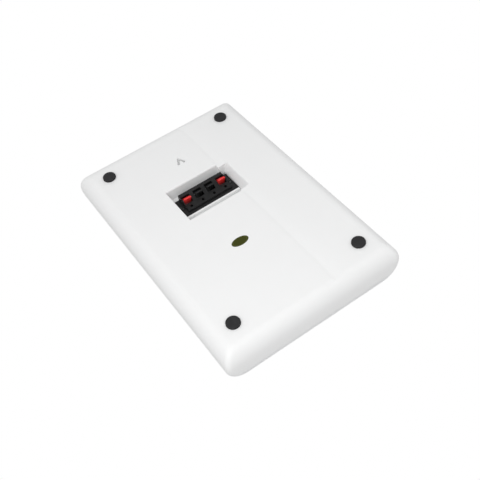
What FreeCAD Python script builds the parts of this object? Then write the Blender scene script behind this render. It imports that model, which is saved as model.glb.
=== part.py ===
import FreeCAD, Part
import math
import os

# Slim two-way wall speaker, modelled upright as it hangs.
# X to the right seen from the front, Y into the wall, Z up, all in millimetres.
# The wall is the plane Y = 0, and the origin is the middle of the four foot faces.
# A place along Y is given as a depth: how far it lies in front of the flat back.

V = FreeCAD.Vector

# Cabinet
body_width = 200.0
body_height = 298.0
wall = 2.8
widest_depth = 18.0         # depth of the widest line, where the two halves meet
back_edge_side = 15.0       # how far the back's rounded edge comes in at the sides
back_edge_top = 16.0
back_edge_bottom = 13.0
front_edge_side = 10.0
front_edge_top = 11.0
front_edge_bottom = 3.0
corner_radius = 5.0
front_corner_radius = 17.0
baffle_thickness = 3.0
grille_room = 8.0           # from the baffle's face to the grille's face

# Seam between the two halves
tongue_width = 1.2
tongue_height = 2.0
seam_clearance = 0.15
seam_gasket_thickness = 0.6

# Feet and the screws under them
foot_radius = 7.0
foot_height = 2.5           # how far a foot stands out of the back
foot_seat = 0.6
foot_edge = 0.7
foot_inset_x = 28.0         # from the case's side to a foot's middle
foot_inset_z = 29.0
case_screw_radius = 1.6
case_screw_grip = 8.2       # thread length in the front shell's post
case_head_radius = 3.0
case_head_height = 2.2
case_head_floor = 3.0       # depth of the outer end of the head
case_post_wall = 1.8
front_post_radius = 4.6
post_gap = 0.2
hole_clearance = 0.25
head_clearance = 0.4
pilot_share = 0.8           # a pilot hole's radius as a share of its screw's

# Ribs across the inside of the back
rib_width = 1.8
rib_height = 2.2
rib_inset = 19.0            # from the widest line to a rib's end
top_rib_drop = 21.0         # from the case's top to the upper rib
bottom_rib_rise = 41.0

# Cable groove down the back
groove_x = -26.4            # its crisp step, which is also the recess's left side
groove_width = 18.0
groove_depth = 1.1          # beside the recess
groove_top_depth = 0.9
groove_bottom_depth = 0.9
groove_flat = 3.0

# Hanging slot
slot_drop_from_top = 54.0   # from the case's top to the middle of the apex
slot_spread = 3.3           # half the distance between the lower ends
slot_drop = 7.6
slot_width = 2.5
slot_end_radius = 1.6
slot_depth = 6.0
slot_wall = 2.0

# Terminal plate, block and levers
terminal_z = 40.1           # middle of the plate
plate_height = 26.2
plate_ear = 5.8             # how far the plate reaches past the block at each end
plate_depth = 12.6          # depth of the plate's face
plate_thickness = 2.0
plate_corner = 0.8
plate_clearance = 0.1
plate_gasket = 0.6
gasket_edge = 0.3
block_rise = 7.0            # how far the block stands out of the plate
block_reach = 10.4          # from the plate's face to the block's inner end
block_end_wall = 0.8
block_edge = 0.2            # from the plate's upper edge to the block
block_shelf = 4.0           # the shelf with the wire holes lies this much deeper
block_shelf_slope = 1.0
socket_inset = 2.2          # from the plate's edge to the part that goes through the case
terminal_skin = 1.3
way_pitch = 14.2
way_count = 4
bay_width = 9.6
bay_height = 9.2
bay_drop = 4.6              # from the plate's upper edge to the lever bays
lever_side_clearance = 0.3
pivot_drop = 2.4            # from the bay's top to the pivot
pivot_sink = 3.8            # from the block's face to the pivot
pivot_radius = 0.9
pivot_clearance = 0.07
lever_hub_radius = 2.1
tab_reach = 7.3             # from the pivot to the outer end of a lever's thumb tab
tab_fall = 5.0              # how far the tab's end lies below the pivot
tab_thickness = 2.1
tab_edge = 0.4
arm_reach = 6.2             # from the pivot to the inner end of the lever's arm
arm_thickness = 1.4
arm_fall = 1.2
grip_radius = 0.3           # of the round grip lines on the tab's upper side
grip_side = 1.2
grip_pitch = 1.2
grip_count = 3
wire_hole_radius = 1.6
wire_hole_drop = 4.2        # from the bay's lower side to a wire hole
wire_hole_length = 11.4     # from the block's face
wire_funnel = 0.5
shelf_below_hole = 3.6
contact_width = 5.0
contact_thickness = 0.5
contact_clearance = 0.15
tab_length = 5.6
spring_width = 3.6
spring_thickness = 0.35
spring_clearance = 0.6      # from the lever's sweep to the leaf's free end
plate_screw_radius = 1.2
plate_head_radius = 2.2
plate_head_height = 1.4
plate_screw_length = 5.4

# Recess round the terminal
recess_room_right = 3.7     # from the plate's end to the recess's right side
recess_room_left = 4.7      # from the plate's end to the side of the pocket under the groove
recess_room_top = 6.8
lip_width = 2.4             # ridge between the trough and the plate
trough_width = 13.9
trough_depth = 18.0
pocket_shorter_top = 4.8
pocket_shorter_bottom = 2.0
recess_wall = 2.4
recess_edge = 0.8           # rounding of the recess's mouth
far_edge_radius = 2.2       # rounding of its upper edge

# Woofer
woofer_from_bottom = 87.0
woofer_radius = 62.0
basket_flange = 7.8
basket_height = 17.0
woofer_bolt_inset = 3.4
sheet = 1.2                 # thickness of the basket's steel
basket_floor_radius = 38.3
basket_window_radius = 8.5
basket_clearance = 1.0
motor_room = 2.7            # between the motor and the inside of the back
motor_length = 10.5
motor_radius = 22.0
motor_plate = 3.0
magnet_inset = 0.5
coil_inner = 12.9
coil_gap = 0.3
pole_gap = 0.6
former_thickness = 0.45
winding_thickness = 0.35
winding_length = 5.0
coil_reach = 8.0            # how far the coil's former stands in front of the basket's floor
coil_dip = 3.8
roll_width = 9.2
cone_thickness = 0.8
cone_rise = 1.2             # how far the cone's rim stands in front of the baffle
cap_radius = 17.0
cap_height = 5.0
cap_skin = 0.6
roll_height = 3.6
roll_thickness = 0.7
roll_seat = 3.0             # how far the roll's inner edge laps over the cone
spider_inset = 3.3
spider_rise = 4.2
spider_thickness = 0.5
spider_waves = 4
spider_wave = 0.9
glue_clearance = 0.03
trim_thickness = 2.0
trim_inset = 1.2
trim_edge = 0.8
driver_screw_radius = 1.5
driver_head_radius = 2.9
driver_head_height = 1.6
driver_screw_length = 9.0
driver_boss_radius = 3.2
driver_boss_length = 4.0
woofer_screws_count = 6

# Tweeter
tweeter_from_top = 51.0
tweeter_radius = 34.0
tweeter_motor_clearance = 1.0
tweeter_plate = 2.4
tweeter_motor_radius = 19.0
tweeter_motor_length = 14.0
dome_radius = 12.7
dome_height = 4.2
dome_skin = 0.5
dome_roll = 2.4             # width of the flat ring round the dome
throat_width = 6.5          # width of the faceplate's flared throat
tweeter_bolt_inset = 5.0
tweeter_screws_count = 4
solder_tab_length = 5.0

# Crossover
board_side_room = 14.8      # from the board's room to the case's widest line
board_z = 30.0
board_width = 34.0
board_height = 62.0
board_thickness = 1.6
board_corner_inset = 4.0
standoff_height = 4.0
standoff_radius = 2.6
board_screw_radius = 1.1
board_head_radius = 2.0
board_head_height = 1.3
coil_outer_radius = 12.5
coil_bore_radius = 5.0
coil_height = 9.5
coil_cheek = 1.0
capacitor_radius = 5.5
capacitor_length = 21.0
capacitor_low = -21.5       # heights of the parts from the board's middle
capacitor_high = -10.0
inductor_rise = 8.5
resistor_rise = 25.5
resistor_length = 20.0
resistor_width = 6.0
resistor_height = 7.0

# Grille
grille_thickness = 1.0
grille_gap = 0.2
frame_height = 2.8
frame_width = 8.2           # from the grille's widest line to the frame's inner side
frame_clearance = 0.15
peg_radius = 2.0
peg_length = 4.4
peg_inset_x = 12.0
peg_inset_z = 17.0
grommet_radius = 3.5
grommet_flange = 4.8
grommet_lip = 0.6
grommet_tail = 1.4
peg_clearance = 0.1

# Damping felt
felt_thickness = 10.0
felt_gap = 6.2              # from the recess's wall to the felt
felt_side_room = 20.0
felt_length = 118.0
felt_rise = 4.0             # from the woofer's middle to the felt's lower end

# Places that follow from the sizes above
half_width = body_width / 2
half_height = body_height / 2
basket_floor = wall + motor_room + motor_length
motor_back = wall + motor_room
baffle_depth = basket_floor + basket_height
baffle_back = baffle_depth - baffle_thickness
face_depth = baffle_depth + grille_room
foot_x = half_width - foot_inset_x
foot_z = half_height - foot_inset_z
slot_z = half_height - slot_drop_from_top
plate_bottom = terminal_z - plate_height / 2
plate_top = terminal_z + plate_height / 2
platform_depth = plate_depth + plate_thickness
bay_top = plate_top - bay_drop
bay_bottom = bay_top - bay_height
block_half_width = way_pitch * (way_count - 1) / 2 + bay_width / 2 + block_end_wall
block_face = plate_depth - block_rise
block_floor = plate_depth + block_reach
plate_half_width = block_half_width + plate_ear
plate_screw_x = block_half_width + plate_ear / 2
pivot_z = bay_top - pivot_drop
pivot_depth = block_face + pivot_sink
wire_hole_z = bay_bottom - wire_hole_drop
lip_top = plate_bottom - plate_clearance
lip_bottom = lip_top - lip_width
recess_bottom = lip_bottom - trough_width
recess_top = plate_top + recess_room_top
recess_right = plate_half_width + recess_room_right
recess_left = -plate_half_width - recess_room_left
pocket_bottom = recess_bottom + pocket_shorter_bottom
pocket_top = recess_top - pocket_shorter_top
woofer_z = woofer_from_bottom - half_height
woofer_opening = woofer_radius - basket_flange
woofer_bolt_circle = woofer_radius - woofer_bolt_inset
cone_radius = woofer_opening - roll_width
cone_front = baffle_depth + cone_rise
coil_front = basket_floor + coil_reach
coil_back = basket_floor - coil_dip
former_radius = coil_inner + former_thickness
winding_radius = former_radius + winding_thickness
gap_radius = winding_radius + coil_gap
pole_radius = coil_inner - pole_gap
magnet_radius = pole_radius - magnet_inset
trim_radius = woofer_opening + trim_inset
tweeter_z = half_height - tweeter_from_top
tweeter_opening = tweeter_motor_radius + tweeter_motor_clearance
tweeter_bolt_circle = tweeter_radius - tweeter_bolt_inset
dome_ring_radius = dome_radius + dome_roll
board_x = (recess_right + recess_wall + half_width - board_side_room) / 2
board_front = wall + standoff_height + board_thickness
peg_x = half_width - peg_inset_x
peg_z = half_height - peg_inset_z
loft_count = 6


def place(x, depth, z):
    """A point in the part's frame from its place across, its depth and its height."""
    return V(x, -(foot_height + depth), z)


def rounded_loop(depth, right, bottom, top, radius):
    """Closed rounded rectangle, symmetrical about X = 0, lying at one depth."""
    mid = radius * (1 - math.sqrt(0.5))
    corners = [
        ((right, bottom + radius), (right - mid, bottom + mid), (right - radius, bottom)),
        ((-right + radius, bottom), (-right + mid, bottom + mid), (-right, bottom + radius)),
        ((-right, top - radius), (-right + mid, top - mid), (-right + radius, top)),
        ((right - radius, top), (right - mid, top - mid), (right, top - radius)),
    ]
    edges = []
    for index, corner in enumerate(corners):
        points = [place(x, depth, z) for x, z in corner]
        edges.append(Part.Arc(*points).toShape())
        after = corners[(index + 1) % 4][0]
        edges.append(Part.LineSegment(points[2], place(after[0], depth, after[1])).toShape())
    return Part.Wire(edges)


def back_loop(angle, inset, floor):
    """The cabinet's outline on the back's rounded edge: 90 degrees is the flat back."""
    share = 1 - math.cos(angle)
    depth = floor + (widest_depth - floor) * (1 - math.sin(angle))
    return rounded_loop(
        depth,
        half_width - inset - back_edge_side * share,
        -half_height + inset + back_edge_bottom * share,
        half_height - inset - back_edge_top * share,
        max(corner_radius - inset, 1.0),
    )


def front_loop(angle, inset, ceiling):
    """The cabinet's outline on the front's rounded edge: 0 degrees is the widest line."""
    share = 1 - math.cos(angle)
    depth = widest_depth + (ceiling - widest_depth) * math.sin(angle)
    return rounded_loop(
        depth,
        half_width - inset - front_edge_side * share,
        -half_height + inset + front_edge_bottom * share,
        half_height - inset - front_edge_top * share,
        max(corner_radius - inset, 1.0) + (front_corner_radius - corner_radius) * share,
    )


def angles(count):
    return [math.pi / 2 * step / count for step in range(count + 1)]


def back_form(inset=0.0, floor=0.0):
    """Solid between the back and the widest line, offset inwards by a wall."""
    return Part.makeLoft([back_loop(a, inset, floor) for a in reversed(angles(loft_count))], True)


def front_form(inset=0.0, ceiling=face_depth):
    """Solid between the widest line and the front, offset inwards by a wall."""
    return Part.makeLoft([front_loop(a, inset, ceiling) for a in angles(loft_count)], True)


def slab(x0, x1, depth0, depth1, z0, z1):
    """Block between two places across, two depths and two heights."""
    return Part.makeBox(x1 - x0, depth1 - depth0, z1 - z0, place(x0, depth1, z0))


def rod(radius, depth0, depth1, x, z):
    """Round bar along the depth."""
    return Part.makeCylinder(radius, depth1 - depth0, place(x, depth0, z), V(0, -1, 0))


def tube(outer, inner, depth0, depth1, x, z):
    return rod(outer, depth0, depth1, x, z).cut(rod(inner, depth0, depth1, x, z))


def turned(profile, x=0.0, z=0.0):
    """Solid of revolution from (radius, depth) points, about an axis along the depth."""
    points = [place(x + radius, depth, z) for radius, depth in profile]
    face = Part.Face(Part.makePolygon(points + points[:1]))
    return face.revolve(place(x, 0, z), V(0, 1, 0), 360)


def side_profile(points, x0, x1):
    """Bar along X with a cross section of (height, depth) points."""
    loop = [place(x0, depth, z) for z, depth in points]
    face = Part.Face(Part.makePolygon(loop + loop[:1]))
    return face.extrude(V(x1 - x0, 0, 0))


def band(depth0, depth1, inset, form):
    """Slice of the cabinet's form between two depths."""
    reach = 2 * half_height
    return form(inset).common(slab(-reach, reach, depth0, depth1, -reach, reach))


def around(count, radius, turn=0.0):
    """Places on a circle, as (x, z)."""
    steps = [turn + 2 * math.pi * k / count for k in range(count)]
    return [(radius * math.cos(a), radius * math.sin(a)) for a in steps]


def join(first, *others):
    return first.multiFuse(list(others)).removeSplitter()


def group(solids):
    return Part.makeCompound(solids)


def feet_places():
    return [(x, z) for z in (foot_z, -foot_z) for x in (-foot_x, foot_x)]


def way_places():
    first = -way_pitch * (way_count - 1) / 2
    return [first + way_pitch * k for k in range(way_count)]


# Rear housing
def groove_section(z, deep):
    """Cross section of the groove: a crisp step, a flat and an S-curve back to the surface."""
    x = groove_x
    above = -1.0
    slope_x = x - groove_flat
    far_x = x - groove_width
    bends = [(0.0, 1.0), (0.2, 0.76), (0.34, 0.47), (0.47, 0.26), (0.64, 0.11), (1.0, 0.0)]
    curve = Part.BSplineCurve()
    curve.interpolate([place(slope_x + share * (far_x - slope_x), height * deep, z)
                       for share, height in bends])
    corners = [place(far_x, 0.0, z), place(far_x, above, z), place(x, above, z), place(x, deep, z),
               place(slope_x, deep, z)]
    edges = [curve.toShape()]
    edges += [Part.makeLine(a, b) for a, b in zip(corners, corners[1:])]
    return Part.Wire(Part.__sortEdges__(edges))


def cable_groove():
    upper = Part.makeLoft([groove_section(terminal_z, groove_depth),
                           groove_section(half_height + 1, groove_top_depth)], True)
    lower = Part.makeLoft([groove_section(terminal_z, groove_depth),
                           groove_section(-half_height - 1, groove_bottom_depth)], True)
    return upper.fuse(lower)


def recess_plan(extra=0.0):
    """Outline of the recess with its side pocket, grown outwards by a wall."""
    left, right = recess_left - extra, recess_right + extra
    return [
        (right, recess_bottom - extra), (right, recess_top + extra),
        (groove_x - extra, recess_top + extra), (groove_x - extra, pocket_top + extra),
        (left, pocket_top + extra), (left, pocket_bottom - extra),
        (groove_x - extra, pocket_bottom - extra), (groove_x - extra, recess_bottom - extra),
    ]


def plan_prism(plan, depth0, depth1):
    loop = [place(x, depth0, z) for x, z in plan]
    face = Part.Face(Part.makePolygon(loop + loop[:1]))
    return face.extrude(V(0, depth0 - depth1, 0))


def recess_tub():
    """Walls and floor of the terminal recess, standing in from the back."""
    tub = plan_prism(recess_plan(recess_wall), wall / 2, trough_depth + recess_wall)
    behind = slab(-half_width, half_width, platform_depth + plate_gasket + recess_wall,
                  trough_depth + recess_wall, lip_top + recess_wall, half_height)
    return tub.cut(behind)


def edge_rounding(start, end, outward, radius):
    """Bar that rounds one straight edge of the recess's mouth over to the back."""
    steps = [math.pi / 2 * k / 4 for k in range(5)]
    section = [(-1, -1), (radius, -1)]
    section += [(radius * (1 - math.sin(a)), radius * (1 - math.cos(a))) for a in steps]
    section += [(-1, radius)]
    loop = [place(start[0] + outward[0] * s, depth, start[1] + outward[1] * s)
            for s, depth in section]
    face = Part.Face(Part.makePolygon(loop + loop[:1]))
    return face.extrude(V(end[0] - start[0], 0, end[1] - start[1]))


def recess_room():
    """What the recess takes away: its mouth, the trough, the plate's seat and its opening."""
    mouth = plan_prism(recess_plan(), -1, platform_depth)
    lip = slab(-plate_half_width, plate_half_width, plate_depth, platform_depth,
               lip_bottom, lip_top)
    trough = plan_prism(recess_plan(), 0, trough_depth).cut(
        slab(-half_width, half_width, 0, trough_depth, lip_bottom, half_height))
    seat = slab(-plate_half_width - plate_clearance, plate_half_width + plate_clearance,
                plate_depth, platform_depth + plate_gasket,
                plate_bottom - plate_clearance, plate_top + plate_clearance)
    opening = slab(-block_half_width - plate_clearance, block_half_width + plate_clearance,
                   plate_depth, trough_depth + recess_wall + 1,
                   plate_bottom + socket_inset - plate_clearance,
                   plate_top - socket_inset + plate_clearance)
    far = edge_rounding((groove_x, recess_top), (recess_right, recess_top), (0, 1),
                        far_edge_radius)
    others = [
        edge_rounding((recess_right, recess_bottom), (recess_right, recess_top), (1, 0),
                      recess_edge),
        edge_rounding((groove_x, recess_bottom), (recess_right, recess_bottom), (0, -1),
                      recess_edge),
        edge_rounding((recess_left, pocket_bottom), (recess_left, pocket_top), (-1, 0),
                      recess_edge + groove_depth),
    ]
    return mouth.cut(lip).multiFuse([trough, seat, opening, far] + others)


def slot_arms(width, depth0, depth1):
    """Inverted V of two round-ended arms that meet at the apex."""
    half = width / 2
    length = math.hypot(slot_spread, slot_drop)
    end_z = slot_z - slot_drop
    solids = [rod(half, depth0, depth1, 0, slot_z)]
    for side in (-1, 1):
        end_x = side * slot_spread
        across, up = slot_drop / length * half, side * slot_spread / length * half
        loop = [(-across, slot_z - up), (across, slot_z + up),
                (end_x + across, end_z + up), (end_x - across, end_z - up)]
        solids.append(plan_prism(loop, depth0, depth1))
        solids.append(rod(half + slot_end_radius - slot_width / 2, depth0, depth1, end_x, end_z))
    return solids[0].multiFuse(solids[1:])


def rear_housing():
    shell = back_form().cut(back_form(wall, wall))
    post_radius = case_head_radius + head_clearance + case_post_wall
    posts = [rod(post_radius, wall / 2, widest_depth - post_gap, x, z)
             for x, z in feet_places()]
    boss = slot_arms(slot_width + 2 * slot_wall, wall / 2, slot_depth + slot_wall)
    standoffs = [rod(standoff_radius, wall / 2, wall + standoff_height, x, z)
                 for x, z in board_corners()]
    shell = shell.multiFuse([recess_tub(), boss] + posts + standoffs + back_ribs())
    cuts = [recess_room(), cable_groove(), slot_arms(slot_width, -1, slot_depth)]
    rebate_inset = wall - tongue_width - seam_clearance
    rebate_depth = widest_depth - tongue_height - seam_gasket_thickness
    cuts.append(rounded_prism(rebate_inset, rebate_depth, widest_depth + 1).cut(
        rounded_prism(wall, rebate_depth, widest_depth + 1)))
    for x, z in feet_places():
        cuts.append(rod(foot_radius, -1, foot_seat, x, z))
        cuts.append(rod(case_head_radius + head_clearance, 0, case_seat(), x, z))
        cuts.append(rod(case_screw_radius + hole_clearance, 0, widest_depth + 1, x, z))
    for x, z in board_corners():
        cuts.append(rod(board_screw_radius * pilot_share, wall, wall + standoff_height + 1, x, z))
    for x in (-plate_screw_x, plate_screw_x):
        cuts.append(rod(plate_screw_radius * pilot_share, platform_depth, trough_depth + 4,
                        x, terminal_z))
    return shell.cut(cuts[0].multiFuse(cuts[1:]))


def case_seat():
    """Depth of the shoulder that a case screw's head bears on."""
    return case_head_floor + case_head_height


def rounded_prism(inset, depth0, depth1):
    """Straight-sided prism with the cabinet's widest outline."""
    loop = rounded_loop(0, half_width - inset, -half_height + inset, half_height - inset,
                        max(corner_radius - inset, 1.0))
    prism = Part.Face(loop).extrude(V(0, depth0 - depth1, 0))
    prism.translate(V(0, -depth0, 0))
    return prism


def back_ribs():
    """Stiffening ribs across the inside of the back, clear of the woofer's motor."""
    reach = half_width - rib_inset
    return [slab(-reach, reach, wall / 2, wall + rib_height, z - rib_width / 2, z + rib_width / 2)
            for z in (bottom_rib_rise - half_height, half_height - top_rib_drop)]


def board_corners():
    across = board_width / 2 - board_corner_inset
    up = board_height / 2 - board_corner_inset
    return [(board_x + sx * across, board_z + sz * up) for sx in (-1, 1) for sz in (-1, 1)]


def seam_gasket():
    inset = wall - tongue_width
    top = widest_depth - tongue_height
    ring = rounded_prism(inset, top - seam_gasket_thickness, top)
    return ring.cut(rounded_prism(wall, top - seam_gasket_thickness, top))


# Front shell
def front_shell():
    outer = band(widest_depth, baffle_depth, 0, front_form)
    inner = band(widest_depth - 1, baffle_back, wall, front_form)
    tongue = rounded_prism(wall - tongue_width, widest_depth - tongue_height, widest_depth)
    tongue = tongue.cut(rounded_prism(wall, widest_depth - tongue_height, widest_depth))
    posts = [rod(front_post_radius, widest_depth, baffle_back + 1, x, z)
             for x, z in feet_places()]
    bosses = [rod(driver_boss_radius, baffle_back - driver_boss_length, baffle_back + 1, x, z)
              for x, z in driver_screw_places()]
    shell = outer.cut(inner).multiFuse([tongue] + posts + bosses)
    cuts = [rod(woofer_opening, 0, face_depth, 0, woofer_z),
            rod(tweeter_opening, 0, face_depth, 0, tweeter_z)]
    for x, z in feet_places():
        cuts.append(rod(case_screw_radius * pilot_share, 0,
                        widest_depth + case_screw_grip + hole_clearance, x, z))
    for x, z in driver_screw_places():
        cuts.append(rod(driver_screw_radius * pilot_share, 0, face_depth, x, z))
    for x, z in peg_places():
        cuts.append(rod(grommet_radius, 0, face_depth, x, z))
    return shell.cut(cuts[0].multiFuse(cuts[1:]))


def woofer_screw_places():
    turn = math.pi / woofer_screws_count
    return [(x, woofer_z + z)
            for x, z in around(woofer_screws_count, woofer_bolt_circle, turn)]


def tweeter_screw_places():
    turn = math.pi / tweeter_screws_count
    return [(x, tweeter_z + z)
            for x, z in around(tweeter_screws_count, tweeter_bolt_circle, turn)]


def driver_screw_places():
    return woofer_screw_places() + tweeter_screw_places()


def peg_places():
    return [(x, z) for z in (-peg_z, 0.0, peg_z) for x in (-peg_x, peg_x)]


# Feet and screws
def foot(x, z):
    edge = foot_edge
    return turned([(0, foot_seat), (foot_radius, foot_seat), (foot_radius, -foot_height + edge),
                   (foot_radius - 0.3 * edge, -foot_height + 0.3 * edge),
                   (foot_radius - edge, -foot_height), (0, -foot_height)], x, z)


def pan_screw(head_radius, head_height, shank_radius, length, seat, x, z, forward):
    """Pan-head screw with a cross slot: its head bears on the seat, and forward says which
    way the shank points, to the front (1) or to the back (-1)."""
    crown = seat - forward * head_height
    shoulder = seat - forward * head_height * 0.45
    tip = seat + forward * length
    body = turned([(0, crown), (0.62 * head_radius, crown), (head_radius, shoulder),
                   (head_radius, seat), (shank_radius, seat),
                   (shank_radius, tip - forward * shank_radius), (0, tip)], x, z)
    low, high = sorted((crown, crown + forward * head_height * 0.6))
    arm, thin = 0.55 * head_radius, 0.12 * head_radius
    cross = slab(x - arm, x + arm, low - 0.01, high, z - thin, z + thin)
    cross = cross.fuse(slab(x - thin, x + thin, low - 0.01, high, z - arm, z + arm))
    return body.cut(cross)


def case_screws():
    length = widest_depth + case_screw_grip - case_seat()
    return group([pan_screw(case_head_radius, case_head_height, case_screw_radius * pilot_share,
                            length, case_seat(), x, z, 1) for x, z in feet_places()])


# Terminal
def block_profile():
    """Side of the raised block: a flat face, a slope down to the shelf and a steep foot."""
    shelf = block_face + block_shelf
    low = wire_hole_z - shelf_below_hole
    return [(plate_top - block_edge, plate_depth), (plate_top - block_edge, block_face),
            (pivot_z + wire_funnel, block_face), (bay_bottom - wire_hole_radius / 2, shelf),
            (low, shelf + block_shelf_slope), (low - wire_funnel, plate_depth)]


def terminal_plate():
    """Plate with its corners cut off."""
    x, cut = plate_half_width, plate_corner
    outline = [(x - cut, plate_bottom), (x, plate_bottom + cut), (x, plate_top - cut),
               (x - cut, plate_top), (cut - x, plate_top), (-x, plate_top - cut),
               (-x, plate_bottom + cut), (cut - x, plate_bottom)]
    return plan_prism(outline, plate_depth, platform_depth)


def terminal_block():
    block = side_profile(block_profile(), -block_half_width, block_half_width)
    rear = slab(-block_half_width, block_half_width, plate_depth, block_floor,
                plate_bottom + socket_inset, plate_top - socket_inset)
    whole = join(terminal_plate(), block, rear)
    cuts = []
    cavity = block_floor - terminal_skin
    hole_end = block_face + wire_hole_length
    for x in way_places():
        half = bay_width / 2
        cuts.append(slab(x - half, x + half, 0, cavity, bay_bottom, bay_top))
        cuts.append(rod(wire_hole_radius, 0, hole_end, x, wire_hole_z))
        room = contact_width / 2 + contact_clearance
        cuts.append(slab(x - room, x + room, hole_end, cavity,
                         wire_hole_z - wire_hole_radius - contact_clearance, bay_bottom + 1))
        cuts.append(slab(x - room, x + room, cavity - 1, block_floor + 1,
                         bay_top - contact_thickness - 2 * contact_clearance, bay_top))
    pivot = Part.makeCylinder(pivot_radius + pivot_clearance / 2, 2 * block_half_width + 2,
                              place(-block_half_width - 1, pivot_depth, pivot_z), V(1, 0, 0))
    cuts.append(pivot)
    for x in (-plate_screw_x, plate_screw_x):
        cuts.append(rod(plate_screw_radius + hole_clearance, 0, block_floor, x, terminal_z))
    return whole.cut(cuts[0].multiFuse(cuts[1:]))


def lever_outline():
    """Side of a lever from its pivot, as (up, deeper): a thumb tab and an arm for the spring."""
    low, high = -tab_fall, tab_thickness - tab_fall
    tab = [(low, tab_edge - tab_reach), (low + tab_edge, -tab_reach),
           (high - tab_edge, -tab_reach), (high, tab_edge - tab_reach)]
    inside = 0.95 * lever_hub_radius
    hub = [(inside * math.sin(a), -inside * math.cos(a))
           for a in (math.radians(35), math.radians(75), math.radians(115))]
    arm = [(arm_thickness - arm_fall, arm_reach), (-arm_fall, arm_reach)]
    return tab + hub + arm


def grip_places():
    """Places of the grip lines along the upper side of the tab, from its outer end inwards."""
    end, start = lever_outline()[3:5]
    length = math.dist(end, start)
    shares = [grip_pitch * (k + 1) / length for k in range(grip_count)]
    return [(end[0] + share * (start[0] - end[0]), end[1] + share * (start[1] - end[1]))
            for share in shares]


def lever(x):
    """Push lever: a thumb tab with grip lines, a hub on the pivot rod and a spring arm."""
    half = bay_width / 2 - lever_side_clearance
    outline = [(pivot_z + up, pivot_depth + deeper) for up, deeper in lever_outline()]
    tab = side_profile(outline, x - half, x + half)
    hub = Part.makeCylinder(lever_hub_radius, 2 * half, place(x - half, pivot_depth, pivot_z),
                            V(1, 0, 0))
    cuts = [Part.makeCylinder(pivot_radius + pivot_clearance, 2 * half + 2,
                              place(x - half - 1, pivot_depth, pivot_z), V(1, 0, 0))]
    for up, deeper in grip_places():
        start = place(x - half + grip_side, pivot_depth + deeper, pivot_z + up)
        cuts.append(Part.makeCylinder(grip_radius, 2 * (half - grip_side), start, V(1, 0, 0)))
    return tab.fuse(hub).cut(cuts[0].multiFuse(cuts[1:]))


def pivot_rod():
    return Part.makeCylinder(pivot_radius, 2 * block_half_width,
                             place(-block_half_width, pivot_depth, pivot_z), V(1, 0, 0))


def contacts():
    """Contact strips: each lies on its bay's floor, with a tab out of the block's inner end."""
    floor = block_floor - terminal_skin
    end = bay_top - contact_clearance
    solids = []
    for x in way_places():
        half = contact_width / 2
        strip = slab(x - half, x + half, floor - contact_thickness, floor,
                     wire_hole_z - wire_hole_radius, end)
        tab = slab(x - half, x + half, floor - contact_thickness, block_floor + tab_length,
                   end - contact_thickness, end)
        solids.append(strip.fuse(tab).removeSplitter())
    return group(solids)


def lever_spring(x):
    """Bent leaf on the contact, whose free end stops just short of the lever's arm."""
    floor = block_floor - terminal_skin - contact_thickness
    sweep = math.hypot(arm_reach, max(arm_fall, arm_thickness - arm_fall))
    tip = pivot_depth + sweep + spring_clearance
    thick = spring_thickness
    foot_z0, bend, top = bay_bottom + spring_width / 2, pivot_z, pivot_z - 4 * spring_thickness
    outline = [(foot_z0, floor), (bend, floor), (top, tip), (top - thick, tip),
               (bend - 2 * thick, floor - thick), (foot_z0, floor - thick)]
    return side_profile(outline, x - spring_width / 2, x + spring_width / 2)


def terminal_gasket():
    top, bottom = platform_depth, platform_depth + plate_gasket
    across, edge = plate_half_width - gasket_edge, gasket_edge
    ring = slab(-across, across, top, bottom, plate_bottom + edge, plate_top - edge)
    across, edge = block_half_width + gasket_edge, socket_inset - gasket_edge
    hole = slab(-across, across, top, bottom, plate_bottom + edge, plate_top - edge)
    holes = [rod(plate_screw_radius + hole_clearance, top, bottom, x, terminal_z)
             for x in (-plate_screw_x, plate_screw_x)]
    return ring.cut(hole.multiFuse(holes))


def plate_screws():
    return group([pan_screw(plate_head_radius, plate_head_height,
                            plate_screw_radius * pilot_share, plate_screw_length,
                            plate_depth, x, terminal_z, 1)
                  for x in (-plate_screw_x, plate_screw_x)])


# Woofer
def woofer_basket():
    """Pressed steel basket: flange, sloping flank with windows, and floor round the motor."""
    mouth = woofer_opening - basket_clearance
    front = baffle_depth + sheet
    floor = basket_floor
    hole = gap_radius + motor_plate
    steel = turned([(woofer_radius, baffle_depth), (woofer_radius, front),
                    (mouth - sheet, front), (basket_floor_radius - sheet, floor + sheet),
                    (hole, floor + sheet), (hole, floor), (basket_floor_radius, floor),
                    (mouth, baffle_depth)], 0, woofer_z)
    cuts = []
    for x, z in around(woofer_screws_count, (mouth + basket_floor_radius) / 2):
        cuts.append(rod(basket_window_radius, floor + 2 * sheet, baffle_depth - 2 * sheet,
                        x, woofer_z + z))
    for x, z in woofer_screw_places():
        cuts.append(rod(driver_screw_radius + hole_clearance, baffle_back, face_depth, x, z))
    return steel.cut(cuts[0].multiFuse(cuts[1:]))


def woofer_yoke():
    """Iron pot round the magnet, with the gap that the coil moves in."""
    front = basket_floor
    inner = gap_radius + motor_plate
    edge = motor_plate / 3
    return turned([(0, motor_back), (motor_radius - edge, motor_back),
                   (motor_radius, motor_back + edge), (motor_radius, front), (gap_radius, front),
                   (gap_radius, front - motor_plate), (inner, front - motor_plate),
                   (inner, motor_back + motor_plate), (0, motor_back + motor_plate)],
                  0, woofer_z)


def woofer_magnet():
    return rod(magnet_radius, motor_back + motor_plate, basket_floor - motor_plate, 0, woofer_z)


def woofer_pole_plate():
    return rod(pole_radius, basket_floor - motor_plate, basket_floor, 0, woofer_z)


def voice_coil():
    return turned([(coil_inner, coil_back), (winding_radius, coil_back),
                   (winding_radius, coil_back + winding_length),
                   (former_radius, coil_back + winding_length), (former_radius, coil_front),
                   (coil_inner, coil_front)], 0, woofer_z)


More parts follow.
